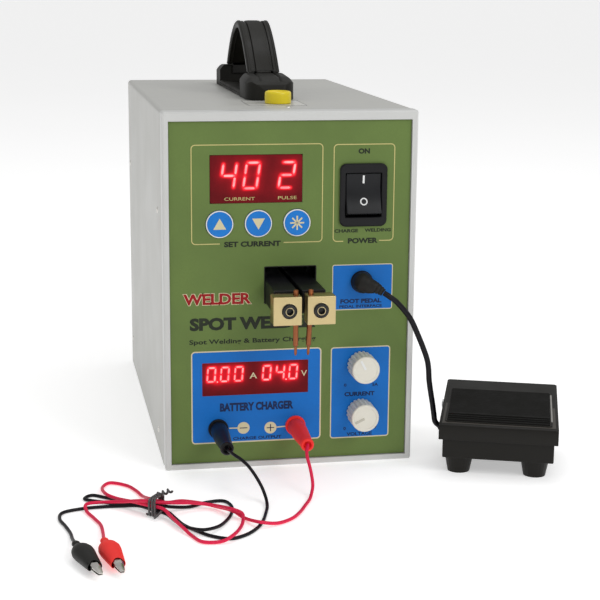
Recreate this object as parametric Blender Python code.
"""Tabletop battery spot welder with a charger section, its pedal and its charging leads.

Metres, +Z up, the front panel faces -Y. The origin is the centre of the chassis underside.
"""

import math

import bmesh
import bpy
from mathutils import Euler, Matrix, Vector

# Driving dimensions
CASE_WIDTH = 0.148
CASE_DEPTH = 0.260
CASE_HEIGHT = 0.210
SHEET = 0.0012  # steel sheet of the case
GAP = 0.0003  # clearance between touching pieces
FRAME_DEPTH = 0.012  # side flange of the front panel
RIM = 0.0035  # visible rim around the overlay
TOP_RIM = 0.0054
WALL = 0.0015  # front wall that carries the controls
OVERLAY = 0.0005

# Derived planes
HALF_W = CASE_WIDTH / 2
FRONT_Y = -CASE_DEPTH / 2
BACK_Y = CASE_DEPTH / 2
FACE_Y = FRONT_Y + 0.0015  # front of the overlay
WALL_Y = FACE_Y + OVERLAY + GAP  # front of the wall behind the overlay
SEAM_Y = FRONT_Y + FRAME_DEPTH

# Front panel layout, as (x, z) or (x low, z low, x high, z high)
WELD_WINDOW = (-0.0468, 0.1579, 0.0062, 0.1851)
CHARGE_WINDOW = (-0.0519, 0.0444, 0.0107, 0.0641)
KEY_Z = 0.1458
KEY_X = {"key_up": -0.0415, "key_down": -0.0191, "key_mode": 0.0034}
KEY_RADIUS = 0.0079
ROCKER_CENTRE = (0.0422, 0.1612)
ROCKER_BODY = (0.0123, 0.0166)  # half width and half height
ROCKER_REST = math.radians(10)
SLOT = (-0.0156, 0.0984, 0.0151, 0.1205)
PLUG_CENTRE = (0.0422, 0.1100)
KNOB_X = 0.0427
KNOB_Z = {"current": 0.0597, "voltage": 0.0305}
SOCKET_Z = 0.0242
SOCKET_X = {"minus": -0.0427, "plus": 0.0033}

# Weld head: x ranges of the arms and blocks, then the screws and the electrodes
ARM_Z = (0.0989, 0.1125)
ARM_X = {"left": (-0.0151, -0.0013), "right": (0.0010, 0.0146)}
BLOCK_X = {"left": (-0.0170, -0.0010), "right": (0.0022, 0.0182)}
BLOCK_Y = (-0.1700, -0.1592)
BLOCK_Z = (0.0948, 0.1110)
SCREW_X = {"left": -0.0080, "right": 0.0099}
ROD_X = {"left": -0.0034, "right": 0.0047}
ROD_LEAN = {"left": 0.0, "right": math.radians(2.0)}
ROD_Y = -0.1640
ROD_RADIUS = 0.0015
PIVOT = (-0.030, 0.1057)  # y and z of the arms' shaft
SPRING_Y = -0.080
SPRING_X = {"left": -0.0085, "right": 0.0080}
SEAT_Z = (0.1382, 0.1407)

# Rear wall
FAN_CENTRE = (0.0, 0.150)
FAN_RADIUS = 0.0270
FAN_SIZE = 0.060
INLET_CENTRE = (-0.030, 0.035)
INLET_BODY = (0.0136, 0.0098)  # half width and half height

# Handle
HANDLE_HALF_W = 0.0150
HANDLE_FRONT = -0.061
HANDLE_MIDDLE = 0.0185
STRAP_HALF_W = 0.0102
STRAP_FRONT_SPAN = 0.0480  # from the top of the arch to its ends
STRAP_BACK_SPAN = 0.0520
STRAP_FOOT = 0.0150  # height of the arch's ends above the case
STRAP_RISE = 0.0307
FOOT_GAP = 0.0027  # from the arch's end to the inner face of the foot
STRAP_THICKNESS = 0.0046

# Pedal, in its own frame: x along its width, y away from the user
PEDAL_CORNER = (0.0846, -0.1608, 0.0)
PEDAL_YAW = math.radians(-20.3)
PEDAL_WIDTH = 0.0633
PEDAL_LENGTH = 0.062
PEDAL_PIN = (0.0450, 0.0300)
GROMMET = ((0.0010, 0.0345, 0.0160), (-0.0036, 0.0315, 0.0195))

# Free cords
LEAD_DIAMETER = 0.0019
CABLE_DIAMETER = 0.0033
PLUG_END_Y = -0.1680
BOOT_TIP = (0.0520, -0.1405, 0.1058)
CLIP_AXIS_Z = 0.0048
CLIPS = {
    "black": ((-0.1308, -0.2460, CLIP_AXIS_Z), (-0.1199, -0.2893)),
    "red": ((-0.1163, -0.2440, CLIP_AXIS_Z), (-0.1091, -0.2911)),
}
CLIP_PIN_Y = 0.0330
TIE_CENTRE = Vector((-0.0858, -0.2001, 0.0058))
TIE_ALONG = Vector((0.821, -0.571, 0.0))
TIE_HALF_W = 0.0064
TIE_HALF_H = 0.0052
TIE_PITCH = 0.0014

# Route points of the free cords, in millimetres, from the plugs to the clips and the pedal
BLACK_ROUTE = [
    (-42.7, -166.2, 24.2), (-42.5, -169.0, 24.2), (-40.1, -176.1, 23.6), (-36.6, -179.6, 21.8),
    (-33.6, -182.2, 19.4),
    (-31.3, -184.1, 16.6), (-29.5, -185.6, 14.0), (-27.7, -187.1, 10.9), (-26.2, -188.8, 7.9),
    (-25.1, -190.8, 4.8), (-24.6, -193.7, 2.5), (-25.3, -200.8, 1.1), (-27.9, -211.4, 1.1),
    (-30.8, -221, 1.0), (-35.4, -230.9, 1.0), (-42.4, -239.4, 1.0), (-51.3, -243.7, 1.0),
    (-60.7, -238.5, 1.0), (-67.4, -229.8, 1.0), (-73.1, -220.5, 1.0), (-76.5, -211.1, 1.4),
    (-80.3, -203.1, 2.4), (-88.2, -198, 2.5), (-92.8, -185.4, 1.1), (-101, -178.3, 1.1),
    (-110.3, -172.5, 1.0), (-118.5, -166.8, 1.0), (-122.8, -172.7, 1.1), (-113.9, -179, 1.3),
    (-104, -183.9, 1.1), (-94.6, -189.3, 3.2), (-86, -198.1, 4.8), (-77, -195.8, 2.3),
    (-67, -194.2, 1.2), (-57.6, -188.7, 1.1), (-47.8, -187.8, 1.1), (-44.4, -196.9, 1.1),
    (-46, -207.8, 1.0), (-50, -218, 1.2), (-55.9, -228.1, 1.9), (-64.9, -235.4, 3.5),
    (-72.7, -226.4, 2.2), (-77.3, -216, 1.9), (-81, -206.9, 2.6), (-88.1, -202.4, 3.8),
    (-94.7, -194.1, 3.3), (-103.7, -187.1, 1.2), (-114.6, -186.4, 1.1), (-125.6, -187.4, 1.0),
    (-135.4, -191.8, 1.0), (-137.3, -201.3, 1.0), (-134.7, -212, 1.1), (-132.4, -223, 1.2),
    (-131.7, -234.5, 2.4), (-130.8, -246, 4.8),
]
RED_ROUTE = [
    (3.3, -166.2, 24.2), (3.1, -168.8, 24.0), (1.9, -172.6, 22.2), (1.7, -175.4, 19.6),
    (2.2, -177.4, 16.9),
    (2.8, -178.9, 13.9), (3.2, -180.5, 11.0), (3.4, -182.2, 8.3), (3.2, -184.4, 5.4),
    (2.1, -187.1, 2.8), (-0.2, -192.9, 1.1), (-4.3, -202, 1.2), (-9.1, -211.9, 1.2),
    (-15.3, -220.9, 1.2), (-24.4, -226.9, 1.4), (-34.4, -228.6, 3.4), (-40.2, -215.8, 1.2),
    (-45.6, -210.1, 3.4), (-52.6, -198.1, 1.8), (-60.9, -194.4, 3.0), (-71.2, -192.5, 4.2),
    (-80.1, -199.8, 6.5), (-87.6, -191.3, 5.8), (-91, -175.2, 1.8), (-93.9, -163.6, 1.2),
    (-98.6, -153.8, 1.1), (-107.5, -148.1, 1.2), (-112.3, -156.4, 1.4), (-111.3, -172.4, 3.5),
    (-105.5, -179.6, 3.0), (-97.3, -192.5, 5.2), (-90.6, -201.6, 6.3), (-82.7, -206.3, 5.4),
    (-79.7, -213.2, 4.1), (-76.7, -222.6, 3.4), (-73.9, -229.7, 2.5), (-70.7, -236.5, 1.1),
    (-66.1, -246.3, 1.2), (-56.6, -247.8, 1.4), (-50.1, -245, 3.4), (-44.6, -231.8, 2.0),
    (-41.7, -221.7, 2.1), (-41.5, -215.5, 3.9), (-47.3, -211.4, 5.3), (-54.6, -199, 3.1),
    (-64.8, -197.8, 4.5), (-75.3, -201.4, 6.5), (-83.9, -202.2, 7.5), (-92.9, -201.4, 8.8),
    (-102.4, -191.2, 5.2), (-113, -184.3, 3.0), (-122.4, -187.1, 3.4), (-122.6, -192.8, 1.4),
    (-119.3, -203.1, 1.2), (-116.3, -213.9, 1.2), (-115.9, -229.5, 2.6), (-116.3, -244, 4.8),
]
CABLE_ROUTE = [
    (52.6, -141.0, 105.5), (55.8, -142.2, 103.4), (61.0, -142.3, 99.2), (68.4, -142.0, 90.2),
    (73.6, -141.5, 79.7), (77.6, -141.0, 70.4), (79.9, -140.5, 64.1), (81.0, -140.0, 58.6),
    (81.8, -139.0, 51.4), (83.4, -137.6, 43.4), (85.2, -135.8, 35.8), (86.8, -133.6, 29.0),
    (88.4, -131.4, 23.2), (91.5, -130.2, 20.0),
]

COLOURS = {
    "painted_grey": ((0.60, 0.60, 0.57), 0.45, 0.0),
    "panel_green": ((0.14, 0.21, 0.06), 0.40, 0.0),
    "plate_steel": ((0.55, 0.56, 0.57), 0.40, 0.9),
    "smoked_red": ((0.18, 0.01, 0.02), 0.15, 0.0),
    "key_blue": ((0.02, 0.18, 0.50), 0.40, 0.0),
    "black_plastic": ((0.02, 0.02, 0.02), 0.40, 0.0),
    "black_rubber": ((0.015, 0.015, 0.015), 0.65, 0.0),
    "arm_black": ((0.02, 0.02, 0.022), 0.50, 0.0),
    "brass": ((0.72, 0.58, 0.33), 0.30, 1.0),
    "copper": ((0.72, 0.34, 0.19), 0.30, 1.0),
    "black_oxide": ((0.04, 0.04, 0.04), 0.35, 0.8),
    "ivory": ((0.75, 0.72, 0.62), 0.40, 0.0),
    "yellow": ((0.85, 0.70, 0.05), 0.35, 0.0),
    "spring_steel": ((0.50, 0.50, 0.50), 0.30, 1.0),
    "laminated_steel": ((0.18, 0.18, 0.19), 0.55, 0.7),
    "winding": ((0.45, 0.18, 0.08), 0.45, 0.4),
    "circuit_green": ((0.02, 0.20, 0.09), 0.45, 0.0),
    "red_plastic": ((0.70, 0.03, 0.08), 0.40, 0.0),
    "lead_red": ((0.75, 0.04, 0.12), 0.45, 0.0),
    "clip_steel": ((0.62, 0.60, 0.56), 0.30, 1.0),
}


def clear_scene():
    for item in list(bpy.data.objects):
        bpy.data.objects.remove(item, do_unlink=True)


def material(name):
    """The Principled material of this name, made the first time it is asked for."""
    if name in bpy.data.materials:
        return bpy.data.materials[name]
    colour, roughness, metallic = COLOURS[name]
    made = bpy.data.materials.new(name)
    made.use_nodes = True
    shader = made.node_tree.nodes["Principled BSDF"]
    shader.inputs["Base Color"].default_value = (*colour, 1.0)
    shader.inputs["Roughness"].default_value = roughness
    shader.inputs["Metallic"].default_value = metallic
    return made


# Shape builders: each adds one closed body to a bmesh


def add_box(bm, low, high):
    size = [h - l for l, h in zip(low, high)]
    centre = [(h + l) / 2 for l, h in zip(low, high)]
    matrix = Matrix.Translation(centre) @ Matrix.Diagonal((*size, 1.0))
    bmesh.ops.create_cube(bm, size=1.0, matrix=matrix)


def add_cone(bm, start, end, radius, end_radius=None, segments=24):
    """A cylinder or cone between two points."""
    start, end = Vector(start), Vector(end)
    turn = (end - start).to_track_quat("Z", "Y").to_matrix().to_4x4()
    matrix = Matrix.Translation((start + end) / 2) @ turn
    bmesh.ops.create_cone(
        bm,
        cap_ends=True,
        segments=segments,
        radius1=radius,
        radius2=radius if end_radius is None else end_radius,
        depth=(end - start).length,
        matrix=matrix,
    )


def add_prism(bm, outline, axis, low, high):
    """An outline of (first, second) points extruded along axis x or z; for x the points are (y, z)."""
    if axis == "x":
        points = [(low, a, b) for a, b in outline]
        step = (high - low, 0, 0)
    else:
        points = [(a, b, low) for a, b in outline]
        step = (0, 0, high - low)
    face = bm.faces.new([bm.verts.new(p) for p in points])
    grown = bmesh.ops.extrude_face_region(bm, geom=[face])["geom"]
    moved = [item for item in grown if isinstance(item, bmesh.types.BMVert)]
    bmesh.ops.translate(bm, verts=moved, vec=step)


def add_turned(bm, profile, centre, segments=24):
    """A closed profile of (radius, y) points turned about the Y axis through centre (x, z)."""
    rings = []
    for radius, y in profile:
        if radius < 1e-6:
            rings.append([bm.verts.new((centre[0], y, centre[1]))])
            continue
        ring = []
        for index in range(segments):
            angle = 2 * math.pi * index / segments
            x = centre[0] + radius * math.cos(angle)
            z = centre[1] + radius * math.sin(angle)
            ring.append(bm.verts.new((x, y, z)))
        rings.append(ring)
    for first, second in zip(rings, rings[1:]):
        for index in range(segments):
            after = (index + 1) % segments
            corners = [first[index % len(first)], first[after % len(first)]]
            corners += [second[after % len(second)], second[index % len(second)]]
            bm.faces.new(list(dict.fromkeys(corners)))


def add_ring(bm, profile, centre, segments=24):
    """A closed profile that stays clear of the axis, turned about the Y axis through centre."""
    rings = []
    for radius, y in profile:
        ring = []
        for index in range(segments):
            angle = 2 * math.pi * index / segments
            x = centre[0] + radius * math.cos(angle)
            z = centre[1] + radius * math.sin(angle)
            ring.append(bm.verts.new((x, y, z)))
        rings.append(ring)
    for first, second in zip(rings, rings[1:] + rings[:1]):
        for index in range(segments):
            after = (index + 1) % segments
            bm.faces.new([first[index], first[after], second[after], second[index]])


def rounded_rectangle(low, high, radius, steps=4):
    """Corner-rounded outline between two (a, b) corners, anticlockwise."""
    points = []
    corners = [
        (high[0] - radius, high[1] - radius, 0),
        (low[0] + radius, high[1] - radius, 90),
        (low[0] + radius, low[1] + radius, 180),
        (high[0] - radius, low[1] + radius, 270),
    ]
    for a, b, start in corners:
        for index in range(steps + 1):
            angle = math.radians(start + 90 * index / steps)
            points.append((a + radius * math.cos(angle), b + radius * math.sin(angle)))
    return points


# Objects


def add_object(name, bm, finish, origin=(0, 0, 0), parent=None, smooth=False):
    """Turns a bmesh, modelled in its parent's frame, into an object whose origin is at origin."""
    bmesh.ops.recalc_face_normals(bm, faces=bm.faces)
    bmesh.ops.translate(bm, verts=bm.verts, vec=-Vector(origin))
    mesh = bpy.data.meshes.new(name)
    bm.to_mesh(mesh)
    bm.free()
    if smooth:
        mesh.shade_smooth()
        mesh.set_sharp_from_angle(angle=math.radians(35))
    made = bpy.data.objects.new(name, mesh)
    bpy.context.scene.collection.objects.link(made)
    made.location = origin
    made.parent = parent
    if finish:
        mesh.materials.append(material(finish))
    return made


def combine(target, bm, operation):
    """A Boolean on target with the bodies in bm, given in the frame of the target's parent."""
    name = f"cutter_{target.name}_{len(target.modifiers)}"
    cutter = add_object(name, bm, None, parent=target.parent)
    cutter.hide_render = True
    cutter.display_type = "WIRE"
    modifier = target.modifiers.new(operation.lower(), "BOOLEAN")
    modifier.operation = operation
    modifier.solver = "EXACT"
    modifier.use_self = True
    modifier.object = cutter


def bevel(target, width, segments=2, angle=40):
    modifier = target.modifiers.new("bevel", "BEVEL")
    modifier.width = width
    modifier.segments = segments
    modifier.limit_method = "ANGLE"
    modifier.angle_limit = math.radians(angle)
    modifier.use_clamp_overlap = True


def empty(name, location, yaw=0.0):
    made = bpy.data.objects.new(name, None)
    bpy.context.scene.collection.objects.link(made)
    made.location = location
    made.rotation_euler = Euler((0, 0, yaw))
    return made


def smooth_route(route, spacing):
    """Points at even spacing along a Catmull-Rom curve through the route, in metres."""
    knots = [Vector(p) * 0.001 for p in route]
    knots = [knots[0] * 2 - knots[1], *knots, knots[-1] * 2 - knots[-2]]
    fine = []
    for before, start, end, after in zip(knots, knots[1:], knots[2:], knots[3:]):
        for index in range(12):
            t = index / 12
            fine.append(
                0.5
                * (
                    2 * start
                    + (end - before) * t
                    + (2 * before - 5 * start + 4 * end - after) * t**2
                    + (3 * start - before - 3 * end + after) * t**3
                )
            )
    fine.append(knots[-2])
    total = sum((b - a).length for a, b in zip(fine, fine[1:]))
    count = max(2, round(total / spacing))
    even = [fine[0]]
    walked = 0.0
    for a, b in zip(fine, fine[1:]):
        step = (b - a).length
        while len(even) < count and walked + step >= total * len(even) / count:
            part = (total * len(even) / count - walked) / step
            even.append(a.lerp(b, part))
        walked += step
    even.append(fine[-1])
    return even


def add_tube(name, points, radii, finish, sides=2, parent=None, closed=False):
    """A curve with a round bevel through the points; radii is one radius or one for each point."""
    curve = bpy.data.curves.new(name, "CURVE")
    curve.dimensions = "3D"
    spline = curve.splines.new("POLY")
    spline.points.add(len(points) - 1)
    largest = max(radii) if isinstance(radii, list) else radii
    for index, point in enumerate(points):
        spline.points[index].co = (*point, 1.0)
        if isinstance(radii, list):
            spline.points[index].radius = radii[index] / largest
    spline.use_cyclic_u = closed
    curve.bevel_depth = largest
    curve.bevel_resolution = sides
    curve.use_fill_caps = True
    curve.materials.append(material(finish))
    made = bpy.data.objects.new(name, curve)
    bpy.context.scene.collection.objects.link(made)
    made.parent = parent
    return made


def add_coil(name, foot, height, radius, wire, turns, finish, parent=None):
    """A compression spring standing on foot, with flat first and last turns."""
    steps = 8
    total = turns * steps
    points = []
    for index in range(total + 1):
        turn = index / steps
        share = min(max((turn - 0.8) / (turns - 1.6), 0.0), 1.0)
        angle = 2 * math.pi * turn
        x = foot[0] + radius * math.cos(angle)
        y = foot[1] + radius * math.sin(angle)
        squash = min(turn, turns - turn, 0.8) * wire * 1.3
        end = squash if turn < turns / 2 else -squash
        z = foot[2] + wire + end + share * (height - 2 * wire - 2 * 0.8 * wire * 1.3)
        if turn > turns / 2:
            z += 2 * 0.8 * wire * 1.3
        points.append((x, y, z))
    return add_tube(name, points, wire, finish, sides=0, parent=parent)


# Case


def chassis():
    """Base plate and rear wall folded from one sheet, with the fan grille and the inlet cut-out."""
    bm = bmesh.new()
    rear = BACK_Y - 0.0013
    outline = [
        (SEAM_Y + GAP, 0.0),
        (rear, 0.0),
        (rear, CASE_HEIGHT - SHEET - 0.0011),
        (rear - SHEET, CASE_HEIGHT - SHEET - 0.0011),
        (rear - SHEET, SHEET),
        (SEAM_Y + GAP, SHEET),
    ]
    half = HALF_W - SHEET - GAP
    add_prism(bm, outline, "x", -half, half)
    made = add_object("chassis", bm, "painted_grey")
    holes = bmesh.new()
    fan_x, fan_z = FAN_CENTRE
    for row in range(-3, 4):
        z = fan_z + row * 0.0072
        reach = math.sqrt(FAN_RADIUS**2 - (row * 0.0072) ** 2)
        low = (fan_x - reach, rear - 0.004, z - 0.0018)
        add_box(holes, low, (fan_x + reach, rear + 0.004, z + 0.0018))
    x, z = INLET_CENTRE
    low = (x - INLET_BODY[0] - GAP, rear - 0.004, z - INLET_BODY[1] - GAP)
    add_box(holes, low, (x + INLET_BODY[0] + GAP, rear + 0.004, z + INLET_BODY[1] + GAP))
    combine(made, holes, "DIFFERENCE")


def case_cover():
    """Top and sides folded from one sheet into an upside-down U."""
    outer = rounded_rectangle((-HALF_W, -0.05), (HALF_W, CASE_HEIGHT), 0.0025)
    inner = rounded_rectangle((-HALF_W + SHEET, -0.05), (HALF_W - SHEET, CASE_HEIGHT - SHEET), 0.0014)
    top_outer = [p for p in outer if p[1] > 0.1]
    top_inner = [p for p in inner if p[1] > 0.1]
    outline = [(HALF_W, 0.0), *top_outer, (-HALF_W, 0.0), (-HALF_W + SHEET, 0.0)]
    outline += [*reversed(top_inner), (HALF_W - SHEET, 0.0)]
    bm = bmesh.new()
    add_prism(bm, outline, "z", SEAM_Y + GAP, BACK_Y)
    bmesh.ops.rotate(bm, verts=bm.verts, matrix=Matrix.Rotation(math.radians(90), 3, "X"))
    bmesh.ops.scale(bm, verts=bm.verts, vec=(1, -1, 1))
    made = add_object("case_cover", bm, "painted_grey", smooth=True)
    holes = bmesh.new()
    low, high = CASE_HEIGHT - 0.01, CASE_HEIGHT + 0.01
    add_cone(holes, (0.0003, SPRING_Y, low), (0.0003, SPRING_Y, high), 0.0034)
    combine(made, holes, "DIFFERENCE")


def front_openings():
    """Everything that passes through the overlay and the wall behind it."""
    bm = bmesh.new()
    near, far = FRONT_Y - 0.002, SEAM_Y - 0.002
    half_w, half_h = ROCKER_BODY
    rocker = (
        ROCKER_CENTRE[0] - half_w,
        ROCKER_CENTRE[1] - half_h,
        ROCKER_CENTRE[0] + half_w,
        ROCKER_CENTRE[1] + half_h,
    )
    for x0, z0, x1, z1 in (WELD_WINDOW, CHARGE_WINDOW, rocker):
        add_box(bm, (x0 - GAP, near, z0 - GAP), (x1 + GAP, far, z1 + GAP))
    add_box(bm, (SLOT[0], near, SLOT[1]), (SLOT[2], far, SLOT[3]))
    rounds = [(x, KEY_Z, KEY_RADIUS + GAP) for x in KEY_X.values()]
    rounds += [(KNOB_X, z, 0.0037) for z in KNOB_Z.values()]
    rounds += [(x, SOCKET_Z, 0.0043) for x in SOCKET_X.values()]
    rounds += [(*PLUG_CENTRE, 0.0053)]
    for x, z, radius in rounds:
        add_cone(bm, (x, near, z), (x, far, z), radius)
    return bm


def front_panel():
    """Moulded frame: a raised rim, a recessed wall for the controls and a flange behind them."""
    bm = bmesh.new()
    add_box(bm, (-HALF_W, FRONT_Y, 0.0), (HALF_W, SEAM_Y, CASE_HEIGHT))
    made = add_object("front_panel", bm, "painted_grey")
    bevel(made, 0.0012)
    hollows = bmesh.new()
    top = CASE_HEIGHT - TOP_RIM
    add_box(hollows, (-HALF_W + RIM, FRONT_Y - 0.01, RIM), (HALF_W - RIM, WALL_Y, top))
    back = WALL_Y + WALL
    low = (-HALF_W + 0.0022, back, 0.0022)
    add_box(hollows, low, (HALF_W - 0.0022, SEAM_Y + 0.01, CASE_HEIGHT - 0.0022))
    combine(made, hollows, "DIFFERENCE")
    combine(made, front_openings(), "DIFFERENCE")


def front_overlay():
    """Printed sheet that lies in the recess of the front panel."""
    bm = bmesh.new()
    inset = RIM + GAP
    low = (-HALF_W + inset, FACE_Y, inset)
    add_box(bm, low, (HALF_W - inset, FACE_Y + OVERLAY, CASE_HEIGHT - TOP_RIM - GAP))
    made = add_object("front_overlay", bm, "panel_green")
    combine(made, front_openings(), "DIFFERENCE")


def display_window(name, window):
    x0, z0, x1, z1 = window
    bm = bmesh.new()
    add_box(bm, (x0, FACE_Y, z0), (x1, FACE_Y + 0.0025, z1))
    add_object(name, bm, "smoked_red")


def board(name, low, high, raised):
    """A circuit board, standing behind the panel, with its parts as raised blocks towards the panel."""
    bm = bmesh.new()
    add_box(bm, low, high)
    made = add_object(name, bm, "circuit_green")
    blocks = bmesh.new()
    for x0, z0, x1, z1, height in raised:
        add_box(blocks, (x0, low[1] - height, z0), (x1, low[1] + 0.0008, z1))
    combine(made, blocks, "UNION")


def control_board():
    """Carries the weld display and the three key switches, just behind the wall."""
    face = WALL_Y + WALL
    front = face + 0.0075
    x0, z0, x1, z1 = WELD_WINDOW
    raised = [(x0 + 0.001, z0 + 0.003, x1 - 0.001, z1 - 0.003, 0.0066)]
    for x in KEY_X.values():
        raised.append((x - 0.003, KEY_Z - 0.003, x + 0.003, KEY_Z + 0.003, 0.0052))
    board("control_board", (-0.0560, front, 0.1300), (0.0200, front + 0.0016, 0.1900), raised)


def charger_board():
    """Carries the charge display and its power stage."""
    face = WALL_Y + WALL
    front = face + 0.0075
    x0, z0, x1, z1 = CHARGE_WINDOW
    raised = [(x0 + 0.001, z0 + 0.002, x1 - 0.001, z1 - 0.002, 0.0066)]
    board("charger_board", (-0.0560, front, 0.0360), (0.0200, front + 0.0016, 0.0700), raised)


def key(name, x):
    """Round panel key with a stem that reaches its switch on the board."""
    bm = bmesh.new()
    back = FACE_Y + 0.0028
    profile = [(0.0, FACE_Y - 0.0009), (KEY_RADIUS - 0.0008, FACE_Y - 0.0009)]
    profile += [(KEY_RADIUS, FACE_Y - 0.0003), (KEY_RADIUS, back), (0.0016, back)]
    profile += [(0.0016, WALL_Y + WALL + 0.0013), (0.0, WALL_Y + WALL + 0.0013)]
    add_turned(bm, profile, (x, KEY_Z))
    add_object(name, bm, "key_blue", origin=(x, FACE_Y, KEY_Z), smooth=True)


def rocker_switch():
    """Housing clipped into the wall, with the rocker held on its axis and standing in the ON position."""
    x, z = ROCKER_CENTRE
    half_w, half_h = ROCKER_BODY
    bm = bmesh.new()
    add_box(bm, (x - 0.0139, FACE_Y - 0.0020, z - 0.0183), (x + 0.0139, FACE_Y - GAP, z + 0.0183))
    made = add_object("rocker_housing", bm, "black_plastic")
    bevel(made, 0.0007)
    body = bmesh.new()
    add_box(body, (x - half_w, FACE_Y - 0.0012, z - half_h), (x + half_w, FACE_Y + 0.0190, z + half_h))
    combine(made, body, "UNION")
    well = bmesh.new()
    add_box(well, (x - 0.0107, FACE_Y - 0.006, z - 0.0129), (x + 0.0107, FACE_Y + 0.0120, z + 0.0129))
    combine(made, well, "DIFFERENCE")
    outline = [(-0.0064, -0.0116), (-0.0042, 0.0), (-0.0064, 0.0116), (-0.0015, 0.0120)]
    outline += [(0.0045, 0.0060), (0.0045, -0.0060), (-0.0015, -0.0120)]
    axis = (x, FACE_Y + 0.0030, z)
    bm = bmesh.new()
    add_prism(bm, outline, "x", -0.0103, 0.0103)
    made = add_object("rocker_key", bm, "black_plastic")
    made.location = axis
    made.rotation_euler = Euler((-ROCKER_REST, 0, 0))
    bevel(made, 0.0006)


def pedal_socket():
    """Panel socket for the pedal plug, with a bore for the plug's pin."""
    bm = bmesh.new()
    x, z = PLUG_CENTRE
    face = FACE_Y - GAP
    profile = [(0.0028, face - 0.0008), (0.0066, face - 0.0008), (0.0066, face), (0.0050, face)]
    profile += [(0.0050, FACE_Y + 0.014), (0.0028, FACE_Y + 0.014), (0.0028, face - 0.0008)]
    add_ring(bm, profile[:-1], (x, z))
    add_object("pedal_socket", bm, "black_plastic", smooth=True)


def lead_socket(side, x):
    """4 mm socket with a collar on the overlay."""
    bm = bmesh.new()
    face = FACE_Y - GAP
    profile = [(0.0023, face - 0.0016), (0.0056, face - 0.0016), (0.0060, face - 0.0010), (0.0060, face)]
    profile += [(0.0040, face), (0.0040, FACE_Y + 0.016), (0.0023, FACE_Y + 0.016)]
    add_ring(bm, profile, (x, SOCKET_Z))
    finish = "red_plastic" if side == "plus" else "black_plastic"
    add_object(f"{side}_socket", bm, finish, smooth=True)


def potentiometer(side, z):
    """Potentiometer body behind the wall, with its threaded bush in the panel."""
    bm = bmesh.new()
    back = WALL_Y + WALL + GAP
    profile = [(0.0027, FACE_Y), (0.0034, FACE_Y), (0.0034, back), (0.0080, back)]
    profile += [(0.0080, back + 0.009), (0.0027, back + 0.009)]
    add_ring(bm, profile, (KNOB_X, z))
    add_object(f"{side}_potentiometer", bm, "plate_steel", smooth=True)


def knob(side, z):
    """Tapered knob with its shaft, which turns in the potentiometer's bush."""
    bm = bmesh.new()
    back = FACE_Y - 0.0006
    front = FACE_Y - 0.0142
    profile = [(0.0, front), (0.0070, front), (0.0077, front + 0.0007), (0.0084, back)]
    profile += [(0.0024, back), (0.0024, FACE_Y + 0.010), (0.0, FACE_Y + 0.010)]
    add_turned(bm, profile, (KNOB_X, z), segments=32)
    add_object(f"{side}_knob", bm, "ivory", origin=(KNOB_X, back, z), smooth=True)


# Weld head


def weld_arm(side):
    x0, x1 = ARM_X[side]
    y, z = PIVOT
    bm = bmesh.new()
    add_box(bm, (x0, BLOCK_Y[1] + GAP, ARM_Z[0]), (x1, -0.022, ARM_Z[1]))
    made = add_object(f"{side}_arm", bm, "arm_black", origin=(0.0, y, z))
    bevel(made, 0.0004, segments=1)
    holes = bmesh.new()
    add_cone(holes, (x0 - 0.01, y, z), (x1 + 0.01, y, z), 0.0033)
    screw_z = (BLOCK_Z[0] + BLOCK_Z[1]) / 2
    screw_x = SCREW_X[side]
    add_cone(holes, (screw_x, -0.165, screw_z), (screw_x, -0.1475, screw_z), 0.0022, segments=16)
    combine(made, holes, "DIFFERENCE")


def electrode_block(side):
    """Brass clamp block, with a bore and a saw slit for the electrode and a counterbored screw."""
    x0, x1 = BLOCK_X[side]
    bm = bmesh.new()
    add_box(bm, (x0, BLOCK_Y[0], BLOCK_Z[0]), (x1, BLOCK_Y[1], BLOCK_Z[1]))
    made = add_object(f"{side}_block", bm, "brass", origin=(0.0, *PIVOT))
    bevel(made, 0.0004)
    holes = bmesh.new()
    top, foot = rod_ends(side)
    along = (Vector(top) - Vector(foot)).normalized()
    reach = along * 0.01
    add_cone(holes, foot - reach, top + reach, ROD_RADIUS + GAP, segments=16)
    combine(made, holes, "DIFFERENCE")
    slit = bmesh.new()
    rod_x = ROD_X[side]
    inner = x1 + 0.002 if side == "left" else x0 - 0.002
    low = (min(rod_x, inner), ROD_Y - 0.0004, BLOCK_Z[0] - 0.002)
    add_box(slit, low, (max(rod_x, inner), ROD_Y + 0.0004, BLOCK_Z[1] + 0.002))
    combine(made, slit, "DIFFERENCE")
    bore = bmesh.new()
    screw_z = (BLOCK_Z[0] + BLOCK_Z[1]) / 2
    x = SCREW_X[side]
    add_turned(bore, [(0.0, -0.175), (0.0044, -0.175), (0.0044, -0.1666), (0.0022, -0.1666),
                      (0.0022, -0.150), (0.0, -0.150)], (x, screw_z))
    combine(made, bore, "DIFFERENCE")


def rod_ends(side):
    """Top of the electrode and the end of its thick part, leaning about the block's middle."""
    middle = Vector((ROD_X[side], ROD_Y, (BLOCK_Z[0] + BLOCK_Z[1]) / 2))
    along = Vector((math.sin(ROD_LEAN[side]), 0, math.cos(ROD_LEAN[side])))
    return middle + along * 0.0110, middle - along * 0.0215


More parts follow.
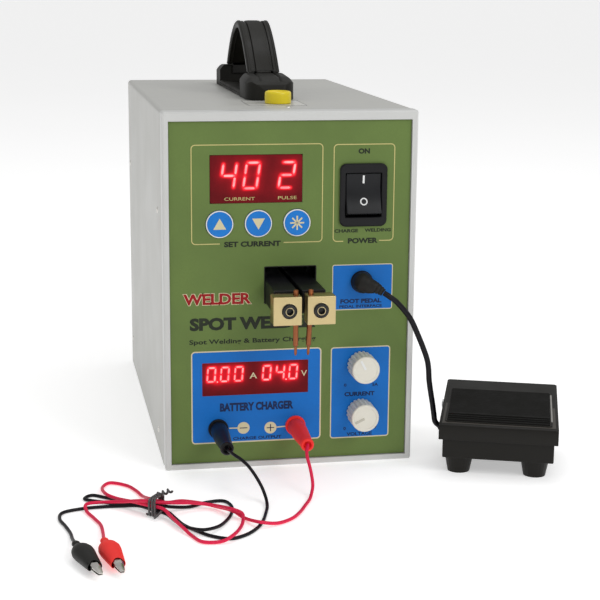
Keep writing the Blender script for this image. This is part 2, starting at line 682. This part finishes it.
def electrode(side):
    """Copper rod, turned down to a thin welding tip."""
    top, foot = rod_ends(side)
    down = (foot - top).normalized()
    points = [top, top + down * 0.0004, foot - down * 0.0006, foot]
    points += [foot + down * 0.0040, foot + down * 0.0052]
    radii = [ROD_RADIUS - 0.0004, ROD_RADIUS, ROD_RADIUS, 0.0008, 0.0008, 0.0004]
    matrix = Matrix.Translation(top) @ (-down).to_track_quat("Z", "Y").to_matrix().to_4x4()
    bm = bmesh.new()
    profile = [(0.0, 0.0)]
    profile += [(r, -(p - top).length) for p, r in zip(points, radii)]
    profile += [(0.0, profile[-1][1])]
    add_turned(bm, profile, (0.0, 0.0), segments=16)
    bmesh.ops.rotate(bm, verts=bm.verts, matrix=Matrix.Rotation(math.radians(90), 3, "X"))
    bmesh.ops.transform(bm, verts=bm.verts, matrix=matrix)
    add_object(f"{side}_electrode", bm, "copper", origin=(0.0, *PIVOT), smooth=True)


def clamp_screw(side):
    """Socket-head screw that holds the block on the arm and clamps the electrode."""
    screw_z = (BLOCK_Z[0] + BLOCK_Z[1]) / 2
    x = SCREW_X[side]
    front = BLOCK_Y[0] - 0.0012
    bm = bmesh.new()
    profile = [(0.0, front), (0.0036, front), (0.0041, front + 0.0005), (0.0041, -0.1669)]
    profile += [(0.0019, -0.1669), (0.0019, -0.1485), (0.0, -0.1485)]
    add_turned(bm, profile, (x, screw_z))
    made = add_object(f"{side}_clamp_screw", bm, "black_oxide", origin=(0.0, *PIVOT), smooth=True)
    socket = bmesh.new()
    add_cone(socket, (x, front - 0.002, screw_z), (x, front + 0.0028, screw_z), 0.0023, segments=6)
    combine(made, socket, "DIFFERENCE")


def pivot_shaft():
    y, z = PIVOT
    bm = bmesh.new()
    add_cone(bm, (-0.0215, y, z), (0.0210, y, z), 0.0030)
    add_object("pivot_shaft", bm, "spring_steel", origin=(0.0, y, z), smooth=True)


def arm_bracket():
    """Folded steel loop around the arms, which carries their shaft and the pressure screw."""
    bm = bmesh.new()
    add_box(bm, (-0.0190, -0.090, 0.0015), (0.0185, -0.020, 0.1500))
    made = add_object("arm_bracket", bm, "plate_steel")
    holes = bmesh.new()
    add_box(holes, (-0.0170, -0.095, 0.0035), (0.0165, -0.015, 0.1480))
    combine(made, holes, "DIFFERENCE")
    bores = bmesh.new()
    y, z = PIVOT
    add_cone(bores, (-0.030, y, z), (0.030, y, z), 0.0033)
    add_cone(bores, (0.0003, SPRING_Y, 0.140), (0.0003, SPRING_Y, 0.160), 0.0034)
    combine(made, bores, "DIFFERENCE")


def spring_seat():
    """Plate that rides on the pressure screw's thread and presses on both arm springs."""
    bm = bmesh.new()
    add_box(bm, (-0.0160, SPRING_Y - 0.008, SEAT_Z[0]), (0.0155, SPRING_Y + 0.008, SEAT_Z[1]))
    made = add_object("spring_seat", bm, "plate_steel")
    hole = bmesh.new()
    add_cone(hole, (0.0003, SPRING_Y, SEAT_Z[0] - 0.01), (0.0003, SPRING_Y, SEAT_Z[1] + 0.01), 0.0033)
    combine(made, hole, "DIFFERENCE")


def pressure_knob():
    """Cap on top of the case, moulded on the screw that sets the welding pressure."""
    base = CASE_HEIGHT + GAP
    profile = [(0.0, 0.0072), (0.0060, 0.0072), (0.0074, 0.0066), (0.0079, 0.0054), (0.0079, 0.0)]
    profile += [(0.0030, 0.0), (0.0030, 0.1330 - base), (0.0, 0.1330 - base)]
    bm = bmesh.new()
    add_turned(bm, profile, (0.0, 0.0), segments=32)
    bmesh.ops.rotate(bm, verts=bm.verts, matrix=Matrix.Rotation(math.radians(90), 3, "X"))
    bmesh.ops.translate(bm, verts=bm.verts, vec=(0.0003, SPRING_Y, base))
    add_object("pressure_knob", bm, "yellow", origin=(0.0003, SPRING_Y, base), smooth=True)


def arm_springs():
    for side, x in SPRING_X.items():
        foot = (x, SPRING_Y, ARM_Z[1] + GAP)
        height = SEAT_Z[0] - ARM_Z[1] - 2 * GAP
        add_coil(f"{side}_arm_spring", foot, height, 0.0034, 0.0006, 6, "spring_steel")


# Power and cooling


def transformer():
    """Laminated core with two windows, and the winding around its middle limb."""
    x, y0, y1 = 0.045, 0.015, 0.065
    z0, z1 = SHEET + GAP, 0.0765
    bm = bmesh.new()
    add_box(bm, (-x, y0, z0), (x, y1, z1))
    made = add_object("transformer_core", bm, "laminated_steel")
    windows = bmesh.new()
    for side in (-1, 1):
        edges = sorted((side * 0.015, side * 0.030))
        add_box(windows, (edges[0], y0 - 0.01, z0 + 0.015), (edges[1], y1 + 0.01, z1 - 0.015))
    combine(made, windows, "DIFFERENCE")
    bm = bmesh.new()
    add_box(bm, (-0.0295, y0 - 0.010, z0 + 0.0155), (0.0295, y1 + 0.010, z1 - 0.0155))
    made = add_object("transformer_winding", bm, "winding")
    core = bmesh.new()
    add_box(core, (-0.0155, y0 - 0.0005, z0), (0.0155, y1 + 0.0005, z1))
    combine(made, core, "DIFFERENCE")


def fan():
    x, z = FAN_CENTRE
    half = FAN_SIZE / 2
    y1 = BACK_Y - 0.0013 - SHEET - GAP
    y0 = y1 - 0.015
    bm = bmesh.new()
    add_box(bm, (x - half, y0, z - half), (x + half, y1, z + half))
    made = add_object("fan_frame", bm, "black_plastic")
    bore = bmesh.new()
    add_cone(bore, (x, y0 - 0.01, z), (x, y1 + 0.01, z), 0.0285, segments=32)
    combine(made, bore, "DIFFERENCE")
    struts = bmesh.new()
    add_box(struts, (x - 0.029, y1 - 0.002, z - 0.0015), (x + 0.029, y1 - 0.0002, z + 0.0015))
    add_box(struts, (x - 0.0015, y1 - 0.0021, z - 0.029), (x + 0.0015, y1 - 0.0001, z + 0.029))
    add_cone(struts, (x, y1 - 0.0022, z), (x, y1, z), 0.0110)
    combine(made, struts, "UNION")
    bm = bmesh.new()
    add_cone(bm, (x, y0 + 0.001, z), (x, y1 - 0.003, z), 0.0110)
    made = add_object("fan_rotor", bm, "black_plastic", origin=(x, (y0 + y1) / 2, z))
    blades = bmesh.new()
    for index in range(7):
        part = bmesh.new()
        add_box(part, (0.0095, -0.0006, -0.0045), (0.0272, 0.0006, 0.0045))
        tilt = Matrix.Rotation(math.radians(40), 4, "X")
        turn = Matrix.Rotation(2 * math.pi * index / 7, 4, "Y")
        place = Matrix.Translation((x, y0 + 0.0060, z))
        stand = Matrix.Rotation(math.radians(90), 4, "X")
        bmesh.ops.transform(part, verts=part.verts, matrix=place @ turn @ tilt @ stand)
        piece = bpy.data.meshes.new("blade")
        part.to_mesh(piece)
        part.free()
        blades.from_mesh(piece)
    combine(made, blades, "UNION")


def mains_inlet():
    """Flanged inlet in the rear wall, with three blades in its recess."""
    x, z = INLET_CENTRE
    half_w, half_h = INLET_BODY
    face = BACK_Y - 0.0013 + GAP
    bm = bmesh.new()
    add_box(bm, (x - 0.0200, face, z - 0.0120), (x + 0.0200, face + 0.0020, z + 0.0120))
    made = add_object("mains_inlet", bm, "black_plastic")
    body = bmesh.new()
    add_box(body, (x - half_w, face - 0.020, z - half_h), (x + half_w, face + 0.001, z + half_h))
    combine(made, body, "UNION")
    well = bmesh.new()
    add_box(well, (x - 0.0120, face - 0.0165, z - 0.0082), (x + 0.0120, face + 0.01, z + 0.0082))
    combine(made, well, "DIFFERENCE")
    blades = bmesh.new()
    for offset, lift in ((-0.007, -0.001), (0.0, 0.002), (0.007, -0.001)):
        low = (x + offset - 0.001, face - 0.018, z + lift)
        add_box(blades, low, (x + offset + 0.001, face - 0.003, z + lift + 0.004))
    combine(made, blades, "UNION")


# Handle


def handle_base():
    """Tray with a raised foot at each end, slotted for the strap's tails."""
    base = CASE_HEIGHT + GAP
    front, back = HANDLE_FRONT, 2 * HANDLE_MIDDLE - HANDLE_FRONT
    inner_front = HANDLE_MIDDLE - STRAP_FRONT_SPAN + FOOT_GAP
    inner_back = HANDLE_MIDDLE + STRAP_BACK_SPAN - FOOT_GAP
    bm = bmesh.new()
    outline = foot_outline(front, inner_front, 1, base)
    outline += reversed(foot_outline(back, inner_back, -1, base))
    add_prism(bm, outline, "x", -HANDLE_HALF_W, HANDLE_HALF_W)
    made = add_object("handle_base", bm, "black_plastic")
    plan = bmesh.new()
    low, high = (-HANDLE_HALF_W, front), (HANDLE_HALF_W, back)
    add_prism(plan, rounded_rectangle(low, high, 0.009, steps=5), "z", base - 0.01, base + 0.03)
    combine(made, plan, "INTERSECT")
    bevel(made, 0.0012, segments=2, angle=50)
    slots = bmesh.new()
    half = STRAP_HALF_W + GAP
    for y0, y1 in ((inner_front - 0.022, inner_front + 0.004), (inner_back - 0.004, inner_back + 0.022)):
        add_box(slots, (-half, y0, base + 0.0080), (half, y1, base + 0.0110))
    combine(made, slots, "DIFFERENCE")


def foot_outline(end, inner, way, base):
    """Side view of a foot, from its outer end to the tray; way is the sign of y towards the middle."""
    return [
        (end, base),
        (end, base + 0.0060),
        (end + way * 0.004, base + 0.0110),
        (end + way * 0.012, base + 0.0136),
        (inner, base + 0.0145),
        (inner, base + 0.0035),
    ]


def strap_height(offset):
    """Height of the strap's outer surface above the ends of its arch, at this distance from its top."""
    if offset < 0:
        return STRAP_RISE * (1 - (-offset / STRAP_FRONT_SPAN) ** 1.6)
    return STRAP_RISE * (1 - (offset / STRAP_BACK_SPAN) ** 2.1)


def strap_tail(end, way, foot):
    """Outline of the thin tail that slides in a foot; way is the sign of y towards the middle."""
    steps = (
        (0.0045, -0.0002),
        (0.0045, -0.0052),
        (0.0030, -0.0066),
        (-0.0180, -0.0066),
        (-0.0180, -0.0046),
        (0.0005, -0.0046),
        (0.0005, -0.0002),
    )
    return [(end + way * dy, foot + dz) for dy, dz in steps]


def handle_strap():
    """Arched grip over the tray, with thin tails that slide in the feet."""
    foot = CASE_HEIGHT + GAP + STRAP_FOOT
    count = 16
    outer = []
    inner = []
    for index in range(count + 1):
        offset = -STRAP_FRONT_SPAN + (STRAP_FRONT_SPAN + STRAP_BACK_SPAN) * index / count
        slope = (strap_height(offset + 1e-5) - strap_height(offset - 1e-5)) / 2e-5
        normal = Vector((slope, -1.0)).normalized()
        y = HANDLE_MIDDLE + offset
        z = foot + strap_height(offset)
        outer.append((y, z))
        inner.append((y + normal.x * STRAP_THICKNESS, z + normal.y * STRAP_THICKNESS))
    inner = [p for p in inner if p[1] > foot + 0.0002]
    front = strap_tail(HANDLE_MIDDLE - STRAP_FRONT_SPAN + FOOT_GAP, 1, foot)
    back = strap_tail(HANDLE_MIDDLE + STRAP_BACK_SPAN - FOOT_GAP, -1, foot)
    outline = [*outer, *reversed(back), *reversed(inner), *front]
    bm = bmesh.new()
    add_prism(bm, outline, "x", -STRAP_HALF_W, STRAP_HALF_W)
    add_object("handle_strap", bm, "black_rubber", smooth=True)


# Pedal


def pedal(frame):
    pedal_base(frame)
    pedal_treadle(frame)
    y, z = PEDAL_PIN
    bm = bmesh.new()
    add_cone(bm, (-0.0040, y, z), (PEDAL_WIDTH + 0.0024, y, z), 0.0015, segments=16)
    made = add_object("pedal_pin", bm, "black_oxide", origin=(0.0, y, z), parent=frame, smooth=True)
    head = bmesh.new()
    add_cone(head, (-0.0038, y, z), (-0.0026, y, z), 0.0026, segments=16)
    combine(made, head, "UNION")
    pedal_pad(frame)
    add_coil("pedal_spring", (0.0316, 0.0150, 0.0124), 0.0183, 0.0040, 0.0005, 5, "spring_steel", frame)
    bm = bmesh.new()
    add_box(bm, (0.0216, 0.0300, 0.0123), (0.0416, 0.0365, 0.0223))
    made = add_object("pedal_switch", bm, "black_plastic", parent=frame)
    plunger = bmesh.new()
    add_cone(plunger, (0.0316, 0.0332, 0.0200), (0.0316, 0.0332, 0.0248), 0.0015, segments=12)
    combine(made, plunger, "UNION")


def pedal_base(frame):
    """Moulded tray on four tapered feet, with the cable's strain relief on its left wall."""
    outline = [(0.0008, 0.010), (PEDAL_LENGTH, 0.010), (PEDAL_LENGTH, 0.0330), (0.045, 0.0330)]
    outline += [(0.0008, 0.0225)]
    bm = bmesh.new()
    add_prism(bm, outline, "x", 0.0, PEDAL_WIDTH)
    taper(bm)
    made = add_object("pedal_base", bm, "black_plastic", parent=frame)
    bevel(made, 0.0008)
    hollow = bmesh.new()
    add_box(hollow, (0.002, 0.0028, 0.012), (PEDAL_WIDTH - 0.002, PEDAL_LENGTH - 0.002, 0.050))
    combine(made, hollow, "DIFFERENCE")
    feet = bmesh.new()
    for x in (0.0092, PEDAL_WIDTH - 0.0098):
        for y in (0.0110, PEDAL_LENGTH - 0.0100):
            add_cone(feet, (x, y, 0.0108), (x, y, 0.0), 0.0086, 0.0065)
    combine(made, feet, "UNION")
    relief = bmesh.new()
    add_cone(relief, GROMMET[0], GROMMET[1], 0.0030, 0.0023, segments=16)
    combine(made, relief, "UNION")
    bore = bmesh.new()
    y, z = PEDAL_PIN
    add_cone(bore, (-0.01, y, z), (PEDAL_WIDTH + 0.01, y, z), 0.0018, segments=16)
    combine(made, bore, "DIFFERENCE")


def treadle_top(y):
    """Height of the treadle's top surface."""
    return 0.0314 + 0.1330 * y


def taper(bm):
    """Moves the right side outwards at the front and inwards at the back."""
    for vert in bm.verts:
        if vert.co.x > PEDAL_WIDTH / 2:
            vert.co.x += 0.0012 - 0.0300 * max(vert.co.y, 0.0)


def pedal_treadle(frame):
    """Folded cover over the tray, hinged on the pin."""
    y, z = PEDAL_PIN
    front, back = -0.0018, 0.0665
    outline = [
        (front, 0.0217),
        (front, 0.0306),
        (front + 0.0012, treadle_top(0.0)),
        (back - 0.0010, treadle_top(back)),
        (back, treadle_top(back) - 0.0015),
        (back, 0.0240),
        (0.0040, 0.0240),
        (0.0025, 0.0217),
    ]
    bm = bmesh.new()
    add_prism(bm, outline, "x", -0.0022, PEDAL_WIDTH + 0.0022)
    taper(bm)
    made = add_object("pedal_treadle", bm, "black_plastic", origin=(0.0, y, z), parent=frame)
    bevel(made, 0.0006)
    hollow = bmesh.new()
    inner = [
        (front + 0.0016, 0.0150),
        (front + 0.0016, treadle_top(0.0) - 0.0022),
        (back - 0.0018, treadle_top(back) - 0.0022),
        (back - 0.0018, 0.0150),
    ]
    add_prism(hollow, inner, "x", -0.0006, PEDAL_WIDTH + 0.0006)
    taper(hollow)
    combine(made, hollow, "DIFFERENCE")
    bore = bmesh.new()
    add_cone(bore, (-0.01, y, z), (PEDAL_WIDTH + 0.01, y, z), 0.0018, segments=16)
    combine(made, bore, "DIFFERENCE")


def pedal_pad(frame):
    """Ribbed rubber mat on the treadle."""
    y0, y1 = 0.0045, 0.0480
    bottom = GAP
    points = [(y0, bottom), (y1, bottom), (y1, bottom + 0.0014)]
    for y in (0.0115, 0.0095, 0.0080):
        points += [(y + 0.0008, bottom + 0.0014), (y + 0.0004, bottom + 0.0008)]
    points += [(y0, bottom + 0.0014)]
    outline = [(y, z + treadle_top(y)) for y, z in points]
    bm = bmesh.new()
    add_prism(bm, outline, "x", 0.0022, PEDAL_WIDTH - 0.0028)
    taper(bm)
    add_object("pedal_pad", bm, "black_rubber", origin=(0.0, *PEDAL_PIN), parent=frame)


def pedal_plug():
    """Round plug with a boot that turns the cable down to the right."""
    x, z = PLUG_CENTRE
    face = FACE_Y - GAP - 0.0008 - GAP
    bm = bmesh.new()
    profile = [(0.0, face - 0.0088), (0.0040, face - 0.0080), (0.0058, face - 0.0060)]
    profile += [(0.0062, face - 0.0035), (0.0062, face), (0.0024, face)]
    profile += [(0.0024, FACE_Y + 0.012), (0.0, FACE_Y + 0.012)]
    add_turned(bm, profile, (x, z))
    made = add_object("pedal_plug", bm, "black_rubber", smooth=True)
    boot = bmesh.new()
    add_cone(boot, (x, face - 0.0046, z), BOOT_TIP, 0.0046, 0.0022, segments=20)
    combine(made, boot, "UNION")


# Charging leads


def lead_plug(side, x):
    """Banana plug in its socket, with a sleeve that ends where the lead starts."""
    face = FACE_Y - GAP - 0.0016 - GAP
    bm = bmesh.new()
    bore = PLUG_END_Y + 0.0026
    profile = [(0.0, bore), (0.0022, bore), (0.0022, PLUG_END_Y), (0.0032, PLUG_END_Y)]
    profile += [(0.0036, PLUG_END_Y + 0.0007), (0.0044, PLUG_END_Y + 0.013)]
    profile += [(0.0050, PLUG_END_Y + 0.023), (0.0050, face)]
    profile += [(0.0019, face), (0.0019, FACE_Y + 0.013), (0.0, FACE_Y + 0.013)]
    add_turned(bm, profile, (x, SOCKET_Z))
    finish = "red_plastic" if side == "plus" else "black_rubber"
    add_object(f"{side}_plug", bm, finish, smooth=True)


def lead(colour):
    route = BLACK_ROUTE if colour == "black" else RED_ROUTE
    points = smooth_route(route, 3 * LEAD_DIAMETER)
    finish = "black_rubber" if colour == "black" else "lead_red"
    add_tube(f"{colour}_lead", points, LEAD_DIAMETER / 2, finish)


def lead_tie():
    """Plastic-covered wire wound around the coiled leads, with one end bent out."""
    across = Vector((-TIE_ALONG.y, TIE_ALONG.x, 0.0))
    turns, steps = 2.25, 16
    points = []
    for index in range(round(turns * steps) + 1):
        angle = 2 * math.pi * index / steps - math.pi / 2
        cos, sin = math.cos(angle), math.sin(angle)
        wide = math.copysign(abs(cos) ** 0.4, cos) * TIE_HALF_W
        high = math.copysign(abs(sin) ** 0.4, sin) * TIE_HALF_H
        shift = TIE_PITCH * (index / steps - turns / 2)
        point = TIE_CENTRE + across * wide + TIE_ALONG * shift
        points.append((point.x, point.y, point.z + high))
    add_tube("lead_tie", points, 0.0004, "black_plastic", sides=1)


def clip(colour):
    """Small crocodile clip with a moulded boot; its jaws point along +Y from the lead's end."""
    at, tip = CLIPS[colour]
    heading = math.atan2(tip[1] - at[1], tip[0] - at[0]) - math.pi / 2
    frame = empty(f"{colour}_clip_frame", at, heading)
    outer = [(0.0019, 0.0004), (0.0021, 0.0040), (0.0028, 0.0065), (0.0045, 0.0095), (0.0056, 0.0140)]
    outer += [(0.0057, 0.0215), (0.0050, 0.0295), (0.0043, 0.0350)]
    inner = [(0.0037, 0.0350), (0.0042, 0.0295), (0.0045, 0.0240)]
    bm = bmesh.new()
    add_turned(bm, [(0.0, 0.0004), *outer, *inner, (0.0, 0.0240)], (0.0, 0.0), segments=20)
    bmesh.ops.scale(bm, verts=bm.verts, vec=(1.0, 1.0, 0.78))
    finish = "red_plastic" if colour == "red" else "black_rubber"
    add_object(f"{colour}_clip_boot", bm, finish, parent=frame, smooth=True)
    upper = [(0.0275, 0.0006), (0.0275, 0.0013), (0.0330, 0.0019), (0.0380, 0.0017), (0.0440, 0.0006)]
    upper += [(0.0445, 0.0002), (0.0330, 0.0002)]
    lower = [(0.0275, -0.0021), (0.0275, -0.0014), (0.0330, -0.0002), (0.0445, -0.0002)]
    lower += [(0.0440, -0.0006), (0.0380, -0.0018), (0.0330, -0.0022)]
    for name, outline in (("upper", upper), ("lower", lower)):
        bm = bmesh.new()
        add_prism(bm, outline, "x", -0.0021, 0.0021)
        for vert in bm.verts:
            vert.co.x *= 1.0 - 0.55 * max(vert.co.y - CLIP_PIN_Y, 0.0) / 0.0115
        pin = (0.0, CLIP_PIN_Y, 0.0)
        add_object(f"{colour}_clip_{name}_jaw", bm, "clip_steel", origin=pin, parent=frame)


def main():
    clear_scene()
    chassis()
    case_cover()
    front_panel()
    front_overlay()
    display_window("weld_display_window", WELD_WINDOW)
    display_window("charge_display_window", CHARGE_WINDOW)
    control_board()
    charger_board()
    for name, x in KEY_X.items():
        key(name, x)
    rocker_switch()
    pedal_socket()
    for side, x in SOCKET_X.items():
        lead_socket(side, x)
        lead_plug(side, x)
    for side, z in KNOB_Z.items():
        potentiometer(side, z)
        knob(side, z)
    for side in ("left", "right"):
        weld_arm(side)
        electrode_block(side)
        electrode(side)
        clamp_screw(side)
    pivot_shaft()
    arm_bracket()
    spring_seat()
    pressure_knob()
    arm_springs()
    transformer()
    fan()
    mains_inlet()
    handle_base()
    handle_strap()
    pedal_plug()
    cable = smooth_route(CABLE_ROUTE, 2.4 * CABLE_DIAMETER)
    add_tube("pedal_cable", cable, CABLE_DIAMETER / 2, "black_rubber")
    for colour in ("black", "red"):
        lead(colour)
        clip(colour)
    lead_tie()
    pedal(empty("pedal_frame", PEDAL_CORNER, PEDAL_YAW))


main()
